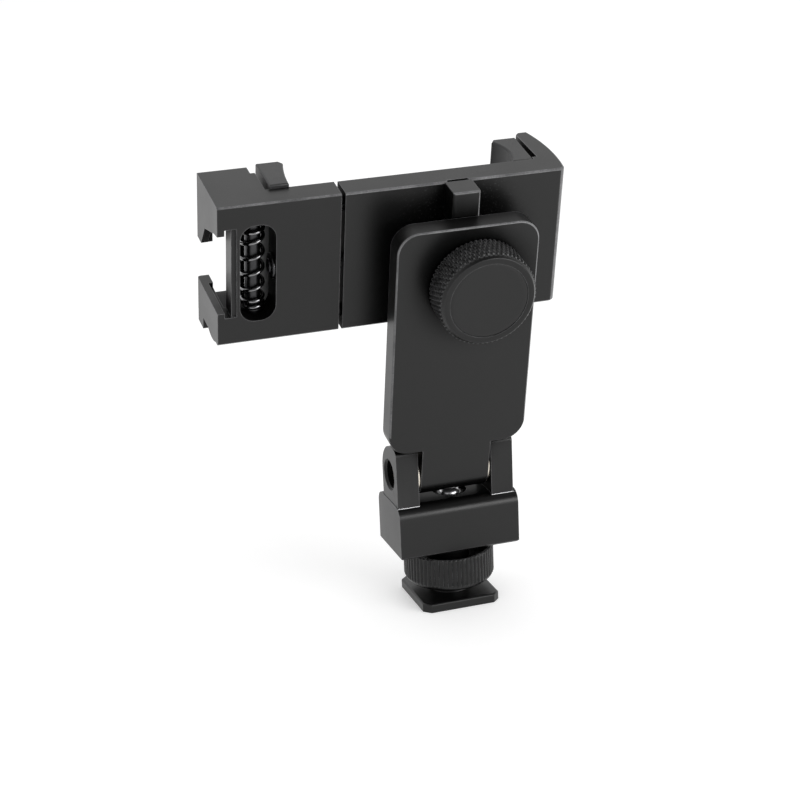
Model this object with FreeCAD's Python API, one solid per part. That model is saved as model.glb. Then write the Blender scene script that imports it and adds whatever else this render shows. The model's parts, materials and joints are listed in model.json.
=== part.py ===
import FreeCAD, Part
import math
import os

# Phone mount on a shoe foot, all sizes in millimetres.
# The foot, base and lock nut stand in the row frame: X along the hinge, Z up, origin under the foot.
# The arm and the clamp are drawn upright about the hinge axis and then leaned forward as one.

# How far a cutting or joining shape runs past the face it works on
run_past = 1.0

# Shoe foot: a standard accessory shoe foot, which sets the scale of everything else
foot_side = 18.6
foot_thick = 2.2
foot_corner = 1.6
foot_edge = 0.3
stud_d = 9.5
spigot_d = 7.0
spigot_length = 4.0
tripod_hole_r = 2.62
tripod_hole_depth = 7.0

# Lock nut and its washer
nut_d = 21.0
nut_bottom = 4.7
nut_height = 7.9
nut_flutes = 62
flute_depth = 0.42
nut_low_chamfer = 1.2
nut_dish_d = 19.2
nut_dish_depth = 2.6
nut_washer_d = 16.0
nut_washer_thick = 0.5
thread_clearance = 0.08

# Base yoke
yoke_left = -14.1
yoke_right = 14.7
yoke_front = -8.0
yoke_back = 7.4
yoke_bottom = 13.65
yoke_top = 26.05
yoke_round = 2.8
yoke_edge = 0.4
ear_gap = 17.5
ear_thick = 5.25
ear_front = -6.6
ear_back = 3.6
ear_rise = 7.2
ear_front_round = 1.5
ear_back_round = 6.6

# Screw that holds the yoke on the foot
yoke_screw_x = 0.7
yoke_screw_d = 3.0
yoke_screw_head_d = 5.4
yoke_screw_head_h = 1.5
yoke_screw_end = 10.5
screw_clearance = 0.1
screw_pocket_d = 8.0
screw_pocket_floor = 24.9
screw_washer_thick = 0.5
screw_washer_d = 6.2

# Hinge
hinge_y = -1.2
hinge_z = 32.4
hinge_pin_d = 4.0
hinge_clearance = 0.05
hinge_head_d = 7.4
hinge_head_h = 1.6
hinge_head_out = 0.7
hinge_nut_d = 6.4
hinge_nut_thick = 2.0
hinge_nut_face = 1.8
counterbore_d = 8.0
nut_mouth_d = 7.5
nut_mouth_depth = 0.6
nut_pocket_d = 6.6
hinge_washer_d = 10.0
hinge_washer_thick = 0.5
neck_width = 16.2
knuckle_r = 5.3

# Arm, measured from the hinge axis
arm_lean = 14.0
arm_width = 32.3
arm_thick = 4.7
arm_low = 8.4
arm_high = 64.2
arm_reach = 5.3
arm_corner = 5.0
arm_round = 0.5

# Knob on the arm
knob_x = 2.1
knob_up = 50.5
knob_d = 22.0
knob_face_d = 20.4
knob_chamfer = 0.9
knob_thick = 7.6
knob_gap = 0.6
knob_washer_d = 15.0
knob_cap_d = 17.6
knob_cap_thick = 1.2
knob_cap_sink = 0.12
knob_screw_d = 5.0
knob_screw_clearance = 0.25
knob_screw_short = 0.5

# Clamp, measured from the hinge axis; depth counts back from the clamp's front face
clamp_front = 5.4
clamp_low = 36.8
clamp_high = 70.0
plate_thick = 6.0
clamp_left = -52.5
seam_left = -25.3
seam_gap = 0.8
clamp_right = 25.6
clamp_edge = 0.35
jaw_depth = 17.7
jaw_front_round = 1.6
jaw_edge = 0.7

# Right jaw
right_jaw_depth = 19.2
right_jaw_tip = 1.4
right_jaw_bow = 0.55
right_bow_depth = 8.5
right_jaw_nose = 0.8
right_jaw_cant = 0.5
right_slot_x = 20.5
right_slot_width = 1.15
right_slot_floor = 1.0
pad_setback = 1.8
right_pad_tip = 14.5
right_pad_waist = 16.45
right_pad_base = 15.5
pad_tongue = 1.0
pad_tongue_width = 2.4
pad_edge = 0.45
pad_nose = 0.8
pad_nose_depth = 1.2
pad_key_margin = 2.5
left_pad_rise = 0.9
left_pad_setback = 0.9

# Left jaw
left_jaw_thick = 11.0
left_step = 1.0
left_step_depth = 14.2
left_slot_width = 1.9
left_pad_base = -35.2
left_pad_waist = -34.7
left_pad_tip = -33.8
window_left = -47.5
window_width = 7.9
window_height = 23.0
window_corner = 3.4
window_depth = 10.4
bar_depth = 4.7

# Accessory slot in the left end
slot_low = 44.6
slot_high = 63.4
slot_wall = 3.1
arch_near = 2.6
arch_near_drop = 0.6
arch_far = 10.6
arch_far_drop = 3.4
lip_thick = 1.6
lip_undercut = 1.2
slot_relief = 0.35
slot_relief_width = 1.1
groove_depth = 14.0
slot_back_left = -45.5
slot_pocket_drop = 4.6
leg_low = 54.8
leg_depth = 3.8
hook_drop = 2.8
hook_depth = 4.9
rib_drop = 0.8
rib_near = 1.9
rib_far = 8.3

# Spring in the window
window_spring_x = -43.5
window_spring_depth = 5.0
window_spring_d = 5.4
window_wire_d = 0.85
window_spring_turns = 4
window_end_turns = 1.5
window_end_pitch = 1.5
window_spring_length = 20.5
window_spring_turned = 36.0
cross_rod_d = 3.4
cross_rod_cover = 1.5
spring_seat_thick = 0.5
spring_seat_d = 4.7
spring_seat_gap = 0.6

# Guide rods, draw rod and return spring
guide_offset = 13.0
guide_d = 3.0
guide_clearance = 0.05
guide_seat = 12.0
guide_reach = 41.0
draw_rod_d = 2.4
draw_head_d = 3.2
draw_head_out = 0.5
draw_washer_d = 5.6
draw_washer_thick = 0.6
draw_collar_d = 3.8
draw_collar_thick = 1.2
draw_reach = 40.5
spring_bore_d = 4.2
bush_length = 2.0
return_wire_d = 0.45
return_spring_d = 3.8
return_turns = 11
return_end_turns = 0.5
return_closed_pitch = 0.47
bore_spare = 1.0

# Hub between the clamp and the arm
hub_d = 23.0
friction_ring_thick = 0.4
friction_ring_d = 20.0
hub_screw_d = 2.4
hub_screw_head_d = 4.4
hub_screw_circle_r = 9.1
hub_screw_angles = (58.0, 122.0, 216.0, 324.0)
hub_screw_grip = 3.6
hub_hole_clearance = 0.05

# Tab in front of the plate
tab_x = 0.8
tab_width = 6.2
tab_clearance = 0.2
tab_foot_gap = 0.3
tab_tongue_width = 4.8
tab_tongue = 0.8
tab_notch_gap = 0.35
tab_edge = 0.35

# Places worked out from the sizes above
nut_top = nut_bottom + nut_height
ear_inner = ear_gap / 2
ear_outer = ear_inner + ear_thick
arm_front = -arm_reach
arm_back = arm_front + arm_thick
knob_back = arm_front - knob_gap
knob_front = knob_back - knob_thick
plate_back = clamp_front + plate_thick
clamp_mid = (clamp_low + clamp_high) / 2
clamp_tall = clamp_high - clamp_low
seam_right = seam_left + seam_gap
rod_depth = clamp_front + plate_thick / 2
jaw_inner = clamp_left + left_jaw_thick
window_right = window_left + window_width
window_low = clamp_mid - window_height / 2
window_high = clamp_mid + window_height / 2
spring_axis = clamp_front + window_spring_depth
stud_top = yoke_bottom + spigot_length
spring_low = window_low + spring_seat_gap + spring_seat_thick

V = FreeCAD.Vector
X_AXIS = V(1, 0, 0)
Y_AXIS = V(0, 1, 0)
Z_AXIS = V(0, 0, 1)


def block(x0, x1, y0, y1, z0, z1):
    return Part.makeBox(x1 - x0, y1 - y0, z1 - z0, V(x0, y0, z0))


def rod(diameter, start, end):
    along = end - start
    return Part.makeCylinder(diameter / 2, along.Length, start, along)


def cone(d0, d1, start, end):
    along = end - start
    return Part.makeCone(d0 / 2, d1 / 2, along.Length, start, along)


def prism(points, direction):
    """A closed outline of points, drawn out along one direction."""
    wire = Part.makePolygon(list(points) + [points[0]])
    return Part.Face(wire).extrude(direction)


def rounded_plate(x0, x1, z0, z1, radius, y0, y1):
    """An upright plate with four rounded corners."""
    body = block(x0, x1, y0, y1, z0, z1)
    corners = [e for e in body.Edges if abs(e.tangentAt(e.FirstParameter).y) > 0.99]
    return body.makeFillet(radius, corners)


def edges_at(shape, axis, value, tolerance=0.01):
    """The edges that lie whole in one plane square to an axis."""
    found = []
    for edge in shape.Edges:
        box = edge.BoundBox
        low = getattr(box, axis + "Min")
        high = getattr(box, axis + "Max")
        if abs(low - value) < tolerance and abs(high - value) < tolerance:
            found.append(edge)
    return found


def straight_edges(edges):
    return [e for e in edges if e.Curve.TypeId == "Part::GeomLine"]


def lean(shape):
    """Carries a piece from the upright arm frame to its place over the base."""
    placed = shape.copy()
    placed.rotate(V(0, 0, 0), X_AXIS, arm_lean)
    placed.translate(V(0, hinge_y, hinge_z))
    return placed


def dome(diameter, height, base, direction):
    """A low spherical cap on a flat base."""
    half = diameter / 2
    radius = (half * half + height * height) / (2 * height)
    centre = base + direction * (height - radius)
    ball = Part.makeSphere(radius, centre)
    keep = rod(diameter, base, base + direction * (height + run_past))
    return ball.common(keep)


def on_screw_axis(z):
    return V(yoke_screw_x, 0, z)


def shoe_foot():
    half = foot_side / 2
    plate = block(-half, half, -half, half, 0, foot_thick)
    corners = [e for e in plate.Edges if abs(e.tangentAt(e.FirstParameter).z) > 0.99]
    plate = plate.makeChamfer(foot_corner, corners)
    plate = plate.makeChamfer(foot_edge, edges_at(plate, "Z", foot_thick))
    stud = rod(stud_d, V(0, 0, 0), V(0, 0, yoke_bottom))
    spigot = rod(spigot_d, V(0, 0, yoke_bottom - run_past), V(0, 0, stud_top))
    body = plate.fuse([stud, spigot])
    tripod_hole = rod(2 * tripod_hole_r, V(0, 0, 0), V(0, 0, tripod_hole_depth))
    screw_hole = rod(yoke_screw_d, on_screw_axis(yoke_screw_end), on_screw_axis(stud_top))
    return body.cut(tripod_hole).cut(screw_hole).removeSplitter()


def lock_nut():
    """A thumb nut with straight flutes round its rim and a dished top."""
    outline = []
    for i in range(2 * nut_flutes):
        angle = math.pi * i / nut_flutes
        radius = nut_d / 2 - flute_depth * (i % 2)
        outline.append(V(radius * math.cos(angle), radius * math.sin(angle), nut_bottom))
    body = prism(outline, V(0, 0, nut_height))
    foot_d = nut_d - 2 * nut_low_chamfer
    body = body.common(cone(foot_d, foot_d + 2 * nut_height, V(0, 0, nut_bottom), V(0, 0, nut_top)))
    dish = rod(nut_dish_d, V(0, 0, nut_top - nut_dish_depth), V(0, 0, nut_top + run_past))
    bore = rod(stud_d + 2 * thread_clearance, V(0, 0, nut_bottom - run_past), V(0, 0, nut_top + run_past))
    return body.cut(dish).cut(bore)


def nut_washer():
    top = V(0, 0, nut_bottom)
    low = V(0, 0, nut_bottom - nut_washer_thick)
    return rod(nut_washer_d, low, top).cut(rod(stud_d + 2 * thread_clearance, low, top))


def ear(x0, x1):
    """One upright ear: a small round at its top front corner and a large one behind."""
    top = hinge_z + ear_rise
    body = block(x0, x1, ear_front, ear_back, yoke_top - yoke_round, top)
    top_edges = [e for e in edges_at(body, "Z", top) if e.BoundBox.XLength > 1.0]
    back = [e for e in top_edges if abs(e.BoundBox.YMax - ear_back) < 0.01]
    body = body.makeFillet(ear_back_round, back)
    front = [e for e in edges_at(body, "Z", top) if abs(e.BoundBox.YMax - ear_front) < 0.01]
    return body.makeFillet(ear_front_round, front)


def base_yoke():
    body = block(yoke_left, yoke_right, yoke_front, yoke_back, yoke_bottom, yoke_top)
    long_top = [e for e in edges_at(body, "Z", yoke_top) if abs(e.tangentAt(0).x) > 0.99]
    body = body.makeFillet(yoke_round, long_top)
    body = body.makeChamfer(yoke_edge, straight_edges(edges_at(body, "Z", yoke_bottom)))
    body = body.fuse([ear(-ear_outer, -ear_inner), ear(ear_inner, ear_outer)]).removeSplitter()
    left_end = V(-ear_outer - run_past, hinge_y, hinge_z)
    right_end = V(ear_outer + run_past, hinge_y, hinge_z)
    pivot = rod(hinge_pin_d + 2 * hinge_clearance, left_end, right_end)
    left_seat = -ear_outer + hinge_nut_face + hinge_nut_thick
    nut_pocket = rod(nut_pocket_d, left_end, V(left_seat, hinge_y, hinge_z))
    mouth = cone(nut_mouth_d, nut_pocket_d, V(-ear_outer, hinge_y, hinge_z),
                 V(-ear_outer + nut_mouth_depth, hinge_y, hinge_z))
    right_seat = ear_outer + hinge_head_out - hinge_head_h
    head_pocket = rod(counterbore_d, V(right_seat, hinge_y, hinge_z), right_end)
    screw_hole = rod(yoke_screw_d + 2 * screw_clearance, on_screw_axis(yoke_bottom), on_screw_axis(yoke_top))
    screw_pocket = rod(screw_pocket_d, on_screw_axis(screw_pocket_floor), on_screw_axis(yoke_top + run_past))
    socket = rod(spigot_d, V(0, 0, yoke_bottom), V(0, 0, stud_top))
    for tool in (pivot, nut_pocket, mouth, head_pocket, screw_hole, screw_pocket, socket):
        body = body.cut(tool)
    return body


def yoke_screw():
    seat = on_screw_axis(screw_pocket_floor + screw_washer_thick)
    head = dome(yoke_screw_head_d, yoke_screw_head_h, seat, Z_AXIS)
    shank = rod(yoke_screw_d, on_screw_axis(yoke_screw_end), seat)
    return head.fuse(shank)


def yoke_screw_washer():
    low = on_screw_axis(screw_pocket_floor)
    high = on_screw_axis(screw_pocket_floor + screw_washer_thick)
    return rod(screw_washer_d, low, high).cut(rod(yoke_screw_d + 2 * screw_clearance, low, high))


def hinge_screw():
    """The hinge pin: a domed head outside the right ear and a threaded end in the left one."""
    right_seat = ear_outer + hinge_head_out - hinge_head_h
    left_end = -ear_outer + hinge_nut_face
    shank = rod(hinge_pin_d, V(left_end, hinge_y, hinge_z), V(right_seat, hinge_y, hinge_z))
    head = dome(hinge_head_d, hinge_head_h, V(right_seat, hinge_y, hinge_z), X_AXIS)
    return shank.fuse(head)


def hinge_nut():
    face = V(-ear_outer + hinge_nut_face, hinge_y, hinge_z)
    back = face + X_AXIS * hinge_nut_thick
    return rod(hinge_nut_d, face, back).cut(rod(hinge_pin_d, face, back))


def hinge_washers():
    """One thin washer on each side of the arm's neck."""
    rings = []
    for side in (-1, 1):
        inner = side * (neck_width / 2 + (ear_inner - neck_width / 2 - hinge_washer_thick) / 2)
        start = V(inner, hinge_y, hinge_z)
        end = start + X_AXIS * (side * hinge_washer_thick)
        ring = rod(hinge_washer_d, start, end)
        rings.append(ring.cut(rod(hinge_pin_d + 2 * hinge_clearance, start, end)))
    return Part.makeCompound(rings)


def arm():
    """The upright arm: a plate with a narrow neck that rolls into the hinge knuckle."""
    half = arm_width / 2
    plate = rounded_plate(-half, half, arm_low, arm_high, arm_corner, arm_front, arm_back)
    plate = plate.makeFillet(arm_round, edges_at(plate, "Y", arm_front))
    side = neck_width / 2
    neck = block(-side, side, arm_front, arm_back, 0, arm_low + arm_corner)
    knuckle = rod(2 * knuckle_r, V(-side, 0, 0), V(side, 0, 0))
    body = plate.fuse([neck, knuckle]).removeSplitter()
    pivot = rod(hinge_pin_d + 2 * hinge_clearance, V(-side, 0, 0), V(side, 0, 0))
    centre = V(knob_x, arm_front, knob_up)
    behind = centre + Y_AXIS * (arm_thick + run_past)
    knob_hole = rod(knob_screw_d + 2 * knob_screw_clearance, centre - Y_AXIS, behind)
    return lean(body.cut(pivot).cut(knob_hole))


def on_knob_axis(depth):
    return V(knob_x, depth, knob_up)


def knob():
    """A turned knob: knurl-sized rim, chamfered face and a shallow seat for its cap."""
    body = rod(knob_d, on_knob_axis(knob_back), on_knob_axis(knob_front + knob_chamfer))
    face = cone(knob_d, knob_face_d, on_knob_axis(knob_front + knob_chamfer), on_knob_axis(knob_front))
    seat_floor = on_knob_axis(knob_front + knob_cap_sink + knob_cap_thick)
    seat = rod(knob_cap_d, on_knob_axis(knob_front), seat_floor)
    bore = rod(knob_screw_d, on_knob_axis(knob_front), on_knob_axis(knob_back))
    return lean(body.fuse(face).cut(seat).cut(bore).removeSplitter())


def knob_cap():
    outer = knob_front + knob_cap_sink
    return lean(rod(knob_cap_d, on_knob_axis(outer), on_knob_axis(outer + knob_cap_thick)))


def knob_screw():
    start = knob_front + knob_cap_sink + knob_cap_thick
    end = clamp_front - knob_screw_short
    return lean(rod(knob_screw_d, on_knob_axis(start), on_knob_axis(end)))


def knob_washer():
    low = on_knob_axis(knob_back)
    high = on_knob_axis(arm_front)
    ring = rod(knob_washer_d, low, high)
    return lean(ring.cut(rod(knob_screw_d + 2 * knob_screw_clearance, low, high)))


def hub_screw_places():
    places = []
    for angle in hub_screw_angles:
        turn = math.radians(angle)
        x = knob_x + hub_screw_circle_r * math.cos(turn)
        z = knob_up + hub_screw_circle_r * math.sin(turn)
        places.append((x, z))
    return places


def hub():
    """The round hub that the clamp turns on, behind the arm."""
    front = arm_back + friction_ring_thick
    body = rod(hub_d, on_knob_axis(front), on_knob_axis(clamp_front))
    body = body.cut(rod(knob_screw_d + 2 * thread_clearance, on_knob_axis(front), on_knob_axis(clamp_front)))
    for x, z in hub_screw_places():
        body = body.cut(rod(hub_screw_d, V(x, clamp_front - hub_screw_grip, z), V(x, clamp_front, z)))
    return lean(body)


def friction_ring():
    front = on_knob_axis(arm_back)
    back = on_knob_axis(arm_back + friction_ring_thick)
    ring = rod(friction_ring_d, front, back)
    return lean(ring.cut(rod(knob_screw_d + 2 * knob_screw_clearance, front, back)))


def hub_screws():
    screws = []
    sink = (hub_screw_head_d - hub_screw_d) / 2
    for x, z in hub_screw_places():
        top = V(x, plate_back, z)
        neck = V(x, plate_back - sink, z)
        end = V(x, clamp_front - hub_screw_grip, z)
        screws.append(cone(hub_screw_head_d, hub_screw_d, top, neck).fuse(rod(hub_screw_d, neck, end)))
    return lean(Part.makeCompound(screws))


def tab():
    """A square tab that stands on the plate's front face above the arm."""
    front = arm_back + tab_clearance
    low = knob_up + hub_d / 2 + tab_foot_gap
    x0 = tab_x - tab_width / 2
    x1 = tab_x + tab_width / 2
    body = block(x0, x1, front, clamp_front, low, clamp_high)
    body = body.makeChamfer(tab_edge, edges_at(body, "Y", front))
    t0 = tab_x - tab_tongue_width / 2
    t1 = tab_x + tab_tongue_width / 2
    tongue = block(t0, t1, clamp_front - run_past / 2, clamp_front + tab_tongue,
                   low, clamp_high - tab_notch_gap)
    return lean(body.fuse(tongue).removeSplitter())


def plate_blank(x0, x1):
    return block(x0, x1, clamp_front, plate_back, clamp_low, clamp_high)


def right_jaw_outline():
    """The right end seen from above: plate end, bowed outer side and jaw tip."""
    tip = clamp_front + right_jaw_depth
    inner = right_slot_x + right_slot_width
    near = V(inner, clamp_front, clamp_low)
    corner = V(clamp_right, clamp_front, clamp_low)
    far = V(clamp_right - right_jaw_tip, tip, clamp_low)
    bow = V(clamp_right + right_jaw_bow, clamp_front + right_bow_depth, clamp_low)
    canted = inner - right_jaw_cant
    nose = V(canted + right_jaw_nose, tip, clamp_low)
    cheek = V(canted, tip - right_jaw_nose, clamp_low)
    foot = V(inner, plate_back + right_slot_floor, clamp_low)
    edges = [
        Part.LineSegment(near, corner).toShape(),
        Part.Arc(corner, bow, far).toShape(),
        Part.LineSegment(far, nose).toShape(),
        Part.LineSegment(nose, cheek).toShape(),
        Part.LineSegment(cheek, foot).toShape(),
        Part.LineSegment(foot, near).toShape(),
    ]
    return Part.Face(Part.Wire(edges)).extrude(V(0, 0, clamp_tall))


def pad_groove(x0, x1):
    """The shallow pocket in the plate's back that holds a pad's key."""
    return block(x0, x1, plate_back - pad_tongue, plate_back + run_past,
                 clamp_low + pad_key_margin, clamp_high - pad_key_margin)


def clamp_plate():
    """The fixed half of the clamp: a long plate with the right jaw at its end."""
    body = plate_blank(seam_right, right_slot_x + right_slot_width + run_past)
    body = body.fuse(right_jaw_outline()).removeSplitter()
    web = block(right_slot_x, right_slot_x + right_slot_width + run_past, plate_back - run_past,
                plate_back + right_slot_floor, clamp_low, clamp_high)
    body = body.fuse(web).removeSplitter()
    corner = [e for e in body.Edges
              if abs(e.BoundBox.XMin - clamp_right) < 0.01 and abs(e.BoundBox.YMax - clamp_front) < 0.01
              and e.BoundBox.ZLength > 1.0]
    body = body.makeFillet(jaw_front_round, corner)
    rims = [e for e in edges_at(body, "Y", clamp_front) if e.BoundBox.XLength > 1.0]
    body = body.makeChamfer(clamp_edge, straight_edges(rims))
    mouth = V(seam_right - run_past, rod_depth, clamp_mid)
    bottom = V(seam_left + draw_reach + bore_spare, rod_depth, clamp_mid)
    body = body.cut(rod(spring_bore_d, mouth, bottom))
    for side in (-1, 1):
        start = V(seam_right - run_past, rod_depth, clamp_mid + side * guide_offset)
        end = V(seam_left + guide_reach + bore_spare, rod_depth, clamp_mid + side * guide_offset)
        body = body.cut(rod(guide_d + 2 * guide_clearance, start, end))
    sink = (hub_screw_head_d - hub_screw_d) / 2
    for x, z in hub_screw_places():
        hole = rod(hub_screw_d + 2 * hub_hole_clearance,
                   V(x, clamp_front - run_past, z), V(x, plate_back + run_past, z))
        seat = cone(hub_screw_head_d, hub_screw_d, V(x, plate_back, z), V(x, plate_back - sink, z))
        body = body.cut(hole).cut(seat)
    body = body.cut(pad_groove(*right_tongue()))
    notch = block(tab_x - tab_tongue_width / 2, tab_x + tab_tongue_width / 2, clamp_front - run_past,
                  clamp_front + tab_tongue, knob_up + hub_d / 2 + tab_foot_gap, clamp_high + run_past)
    return lean(body.cut(notch))


def right_tongue():
    middle = (right_pad_base + right_slot_x) / 2
    return middle - pad_tongue_width / 2, middle + pad_tongue_width / 2


def left_tongue():
    middle = (jaw_inner + left_slot_width + left_pad_base) / 2
    return middle - pad_tongue_width / 2, middle + pad_tongue_width / 2


def pad(back_x, base_x, waist_x, tip_x, depth, foot, high, tongue):
    """A grip pad with a hollowed face and a hooked tip, and a key set in the plate."""
    tip = clamp_front + depth
    toward = 1 if back_x > tip_x else -1
    start = V(base_x, foot, clamp_low)
    waist = V(waist_x, (foot + tip) / 2, clamp_low)
    hook = V(tip_x, tip - pad_nose_depth, clamp_low)
    top = V(tip_x + pad_nose * toward, tip, clamp_low)
    far = V(back_x, tip, clamp_low)
    near = V(back_x, foot, clamp_low)
    edges = [
        Part.Arc(start, waist, hook).toShape(),
        Part.LineSegment(hook, top).toShape(),
        Part.LineSegment(top, far).toShape(),
        Part.LineSegment(far, near).toShape(),
        Part.LineSegment(near, start).toShape(),
    ]
    body = Part.Face(Part.Wire(edges)).extrude(V(0, 0, high - clamp_low))
    body = body.makeFillet(pad_edge, edges_at(body, "Z", high))
    key = block(tongue[0], tongue[1], plate_back - pad_tongue, foot + pad_tongue,
                clamp_low + pad_key_margin, clamp_high - pad_key_margin)
    return lean(body.fuse(key).removeSplitter())


def right_pad():
    return pad(right_slot_x, right_pad_base, right_pad_waist, right_pad_tip,
               right_jaw_depth - pad_setback, plate_back, clamp_high, right_tongue())


def left_pad():
    return pad(jaw_inner + left_slot_width, left_pad_base, left_pad_waist, left_pad_tip,
               jaw_depth - left_pad_setback, plate_back, clamp_high + left_pad_rise, left_tongue())


def slot_cut():
    """The accessory slot in the left end, with lips, undercut groove and an open back."""
    far = clamp_front + jaw_depth + run_past
    wall = clamp_left + slot_wall
    arch = [V(clamp_left - run_past, clamp_front - run_past, slot_low),
            V(clamp_left - run_past, clamp_front - run_past, slot_high),
            V(clamp_left - run_past, clamp_front + arch_near, slot_high - arch_near_drop),
            V(clamp_left - run_past, clamp_front + arch_far, slot_high - arch_far_drop),
            V(clamp_left - run_past, clamp_front + jaw_depth - leg_depth, leg_low),
            V(clamp_left - run_past, far, leg_low),
            V(clamp_left - run_past, far, slot_low)]
    opening = prism(arch, V(slot_wall + run_past, 0, 0))
    groove = block(clamp_left + lip_thick, wall, clamp_front - run_past, clamp_front + groove_depth,
                   slot_low - lip_undercut, slot_high + lip_undercut)
    behind = block(wall - run_past / 2, slot_back_left, clamp_front + bar_depth, far,
                   slot_low - slot_pocket_drop, slot_high)
    relief = block(clamp_left + lip_thick, wall + slot_relief_width,
                   clamp_front - run_past, clamp_front + slot_relief,
                   slot_low - lip_undercut, slot_high + lip_undercut)
    return opening.fuse([groove, behind, relief])


def wall_rib():
    """A low rib under the slot's outer wall, round at its ends."""
    near = V(clamp_left, clamp_front + rib_near, clamp_low)
    far = V(clamp_left, clamp_front + rib_far, clamp_low)
    crest = (near + far) / 2 - Z_AXIS * rib_drop
    near_root = near + Z_AXIS * run_past
    far_root = far + Z_AXIS * run_past
    edges = [
        Part.LineSegment(near_root, near).toShape(),
        Part.Arc(near, crest, far).toShape(),
        Part.LineSegment(far, far_root).toShape(),
        Part.LineSegment(far_root, near_root).toShape(),
    ]
    return Part.Face(Part.Wire(edges)).extrude(V(slot_wall, 0, 0))


def left_jaw():
    """The sliding half: a plate with the thick left jaw, its window and the accessory slot."""
    body = plate_blank(clamp_left, seam_left)
    jaw = block(clamp_left, jaw_inner, clamp_front, clamp_front + jaw_depth, clamp_low, clamp_high)
    step = block(jaw_inner - run_past, jaw_inner + left_step,
                 plate_back - run_past, clamp_front + left_step_depth, clamp_low, clamp_high)
    body = body.fuse([jaw, step]).removeSplitter()
    far = clamp_front + jaw_depth
    top_far = [e for e in edges_at(body, "Z", clamp_high) if abs(e.BoundBox.YMin - far) < 0.01]
    uprights = [e for e in edges_at(body, "Y", far) if e.BoundBox.ZLength > 1.0]
    body = body.makeFillet(jaw_edge, top_far + uprights)
    rims = [e for e in edges_at(body, "Y", clamp_front) if e.BoundBox.XLength > 1.0]
    body = body.makeChamfer(clamp_edge, rims)
    hook = block(clamp_left, clamp_left + slot_wall, far - hook_depth, far - jaw_edge,
                 clamp_low - hook_drop, clamp_low + run_past)
    body = body.fuse([hook, wall_rib()]).removeSplitter()
    window = rounded_plate(window_left, window_right, window_low, window_high, window_corner,
                           clamp_front - run_past, clamp_front + window_depth)
    body = body.cut(window).cut(slot_cut())
    body = body.cut(cross_rod_blank())
    centre = V(window_right, rod_depth, clamp_mid)
    body = body.cut(rod(draw_rod_d, centre - X_AXIS, V(seam_left + run_past, rod_depth, clamp_mid)))
    for side in (-1, 1):
        height = clamp_mid + side * guide_offset
        body = body.cut(rod(guide_d, V(seam_left - guide_seat, rod_depth, height),
                            V(seam_left + run_past, rod_depth, height)))
    return lean(body.cut(pad_groove(*left_tongue())))


def cross_rod_blank():
    low = V(window_spring_x, spring_axis, clamp_low + cross_rod_cover)
    return rod(cross_rod_d, low, V(window_spring_x, spring_axis, clamp_high - cross_rod_cover))


def cross_rod():
    return lean(cross_rod_blank())


def spring_seats():
    """Two thin rings on the cross rod, one at each end of the window spring."""
    seats = []
    for low in (spring_low - spring_seat_thick, spring_low + window_spring_length):
        start = V(window_spring_x, spring_axis, low)
        end = start + Z_AXIS * spring_seat_thick
        seats.append(rod(spring_seat_d, start, end).cut(rod(cross_rod_d, start, end)))
    return lean(Part.makeCompound(seats))


def coil(diameter, wire, length, turns, dead_turns, close_pitch, steps_per_turn, wire_sides):
    """A compression spring along Z: close turns at both ends and open turns between."""
    radius = (diameter - wire) / 2
    total = turns + 2 * dead_turns
    open_pitch = (length - wire - 2 * dead_turns * close_pitch) / turns
    points = []
    count = int(total * steps_per_turn)
    for i in range(count + 1):
        turn = total * i / count
        first = min(turn, dead_turns)
        middle = min(max(turn - dead_turns, 0), turns)
        last = max(turn - dead_turns - turns, 0)
        z = wire / 2 + (first + last) * close_pitch + middle * open_pitch
        angle = 2 * math.pi * turn
        points.append(V(radius * math.cos(angle), radius * math.sin(angle), z))
    along = (points[1] - points[0]).normalize()
    outward = V(1, 0, 0)
    across = along.cross(outward).normalize()
    section = []
    for k in range(wire_sides):
        turn = 2 * math.pi * k / wire_sides
        section.append(points[0] + (outward * math.cos(turn) + across * math.sin(turn)) * (wire / 2))
    spine = Part.makePolygon(points)
    return spine.makePipeShell([Part.makePolygon(section + [section[0]])], True, True, 1)


def window_spring():
    spring = coil(window_spring_d, window_wire_d, window_spring_length, window_spring_turns,
                  window_end_turns, window_end_pitch, 12, 5)
    spring.rotate(V(0, 0, 0), Z_AXIS, window_spring_turned)
    spring.translate(V(window_spring_x, spring_axis, spring_low))
    return lean(spring)


def return_spring():
    start = seam_right + bush_length
    end = seam_left + draw_reach - draw_collar_thick
    spring = coil(return_spring_d, return_wire_d, end - start, return_turns,
                  return_end_turns, return_closed_pitch, 6, 4)
    spring.rotate(V(0, 0, 0), Y_AXIS, 90)
    spring.translate(V(start, rod_depth, clamp_mid))
    return lean(spring)


def draw_rod():
    """The rod that pulls the return spring as the left jaw is drawn out."""
    head = window_right - draw_washer_thick
    body = rod(draw_rod_d, V(head, rod_depth, clamp_mid), V(seam_left + draw_reach, rod_depth, clamp_mid))
    end = rod(draw_head_d, V(head - draw_head_out, rod_depth, clamp_mid), V(head, rod_depth, clamp_mid))
    return lean(body.fuse(end))


def draw_washer():
    start = V(window_right - draw_washer_thick, rod_depth, clamp_mid)
    end = V(window_right, rod_depth, clamp_mid)
    return lean(rod(draw_washer_d, start, end).cut(rod(draw_rod_d, start, end)))


def draw_collar():
    end = V(seam_left + draw_reach, rod_depth, clamp_mid)
    start = end - X_AXIS * draw_collar_thick
    return lean(rod(draw_collar_d, start, end).cut(rod(draw_rod_d, start, end)))


def draw_bush():
    start = V(seam_right, rod_depth, clamp_mid)
    end = start + X_AXIS * bush_length
    return lean(rod(spring_bore_d, start, end).cut(rod(draw_rod_d + 2 * guide_clearance, start, end)))


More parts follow.
